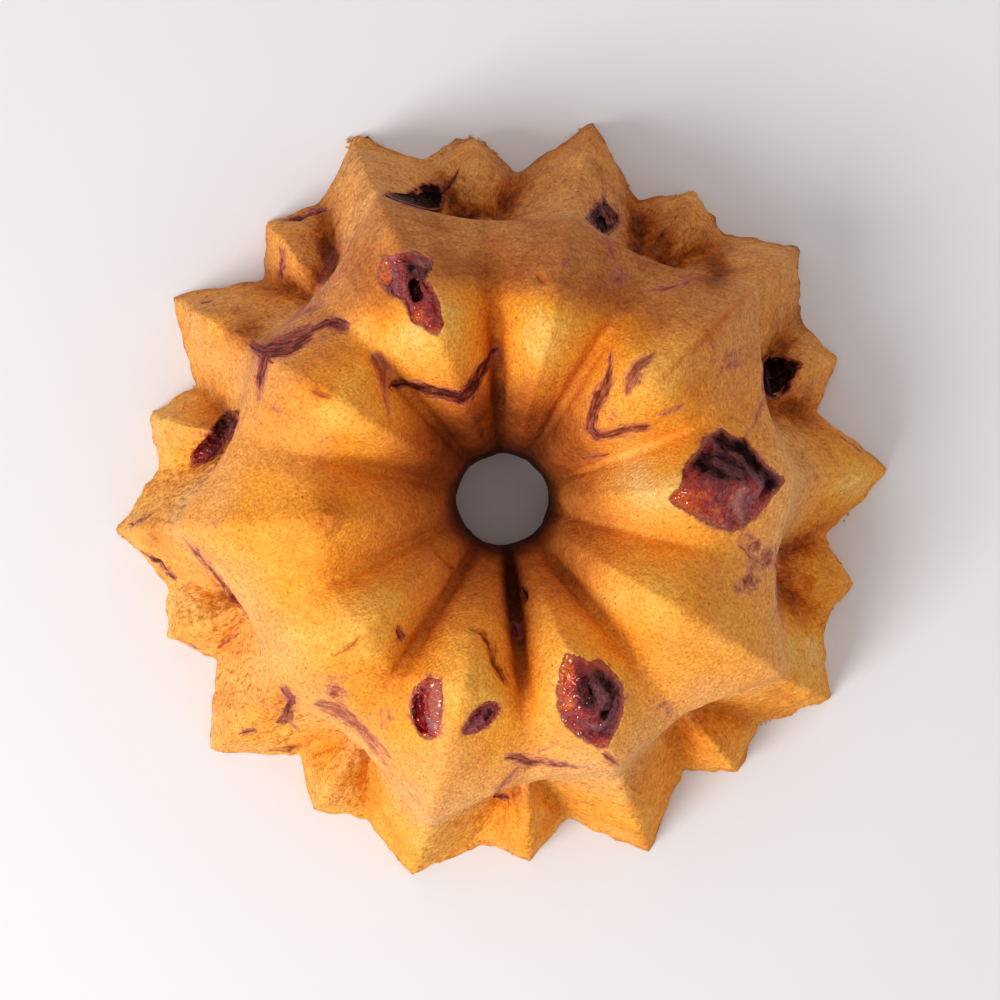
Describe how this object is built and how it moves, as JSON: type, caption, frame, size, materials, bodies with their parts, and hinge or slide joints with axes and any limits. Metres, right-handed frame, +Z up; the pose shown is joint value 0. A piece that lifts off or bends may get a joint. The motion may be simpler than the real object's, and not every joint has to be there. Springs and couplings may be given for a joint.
{
  "type": "star-shaped ring cake",
  "caption": "Two-tier ring cake baked in a pointed star form, golden crumb with jammy fruit pockets, open funnel through the middle, standing on its flat base.",
  "frame": {"origin": "middle of the flat base, where the cake stands on its plate", "axes": "+Z up out of the funnel; +X to the right of the picture, close to the ridge of one small lobe, 4.5 degrees off it; +Y to the top of the picture; a big lobe's ridge lies 40.5 degrees from +X"},
  "size_m": [0.2392, 0.234, 0.0843],
  "materials": {
    "crumb": null,
    "cooked_fruit": null
  },
  "bodies": {
    "root": {"cake": "crumb", "fruit_upper_left": "cooked_fruit", "fruit_right": "cooked_fruit", "fruit_lower_right": "cooked_fruit", "fruit_lower_left": "cooked_fruit", "fruit_lower_middle": "cooked_fruit", "fruit_right_tip": "cooked_fruit", "fruit_top_tip": "cooked_fruit", "fruit_left_tip": "cooked_fruit", "fruit_top_left_tip": "cooked_fruit"}
  },
  "joints": []
}
